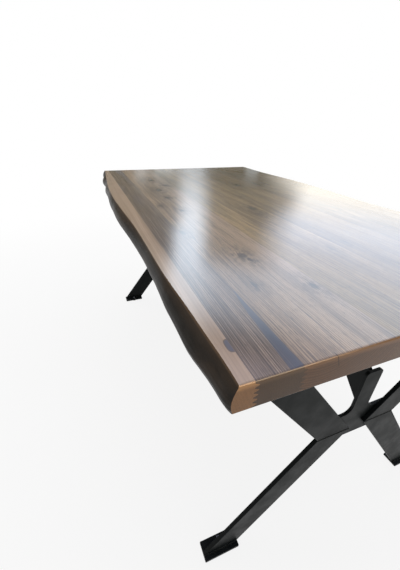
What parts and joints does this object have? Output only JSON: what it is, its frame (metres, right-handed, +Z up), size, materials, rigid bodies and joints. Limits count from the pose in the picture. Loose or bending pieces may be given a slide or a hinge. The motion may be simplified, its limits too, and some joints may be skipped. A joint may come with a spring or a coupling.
{
  "type": "live edge dining table",
  "caption": "Live edge wooden dining top, glued from boards with finger joints, on two hourglass trestles of black flat steel bar with foot plates.",
  "frame": {"origin": "on the floor under the middle of the table", "axes": "+X along the boards towards the near end, +Y across the table away from the widest live edge, +Z up"},
  "size_m": [1.524, 0.9136, 0.762],
  "materials": {
    "walnut_boards": "satin lacquer",
    "live_edge_walnut": "satin lacquer, dark bark side",
    "black_steel": "satin powder coat",
    "black_fasteners": "black oxide",
    "zinc_fasteners": "zinc plated",
    "glide_pad": "moulded"
  },
  "bodies": {
    "table": {"board_1_live_edge": "live_edge_walnut", "board_2": "walnut_boards", "board_3": "walnut_boards", "board_4": "walnut_boards", "board_5": "walnut_boards", "board_6": "walnut_boards", "board_7_live_edge": "live_edge_walnut", "far_brace_tab": "black_steel", "far_foot_plate_left": "black_steel", "far_foot_plate_right": "black_steel", "far_knee_brace": "black_steel", "far_lower_arm_left": "black_steel", "far_lower_arm_right": "black_steel", "far_top_plate": "black_steel", "far_upper_arm_left": "black_steel", "far_upper_arm_right": "black_steel", "far_waist_gusset": "black_steel", "near_brace_tab": "black_steel", "near_foot_plate_left": "black_steel", "near_foot_plate_right": "black_steel", "near_knee_brace": "black_steel", "near_lower_arm_left": "black_steel", "near_lower_arm_right": "black_steel", "near_top_plate": "black_steel", "near_upper_arm_left": "black_steel", "near_upper_arm_right": "black_steel", "near_waist_gusset": "black_steel", "top_fixing_screws": "black_fasteners"},
    "glide_near_left": {"near_glide_pad_left": "glide_pad", "near_glide_stud_left": "zinc_fasteners"},
    "glide_near_right": {"near_glide_pad_right": "glide_pad", "near_glide_stud_right": "zinc_fasteners"},
    "glide_far_left": {"far_glide_pad_left": "glide_pad", "far_glide_stud_left": "zinc_fasteners"},
    "glide_far_right": {"far_glide_pad_right": "glide_pad", "far_glide_stud_right": "zinc_fasteners"}
  },
  "joints": [
    {"name": "level_near_left", "type": "slide", "parent": "table", "child": "glide_near_left", "axis": [0, 0, -1], "range_m": [0, 0.01]},
    {"name": "level_near_right", "type": "slide", "parent": "table", "child": "glide_near_right", "axis": [0, 0, -1], "range_m": [0, 0.01]},
    {"name": "level_far_left", "type": "slide", "parent": "table", "child": "glide_far_left", "axis": [0, 0, -1], "range_m": [0, 0.01]},
    {"name": "level_far_right", "type": "slide", "parent": "table", "child": "glide_far_right", "axis": [0, 0, -1], "range_m": [0, 0.01]}
  ]
}
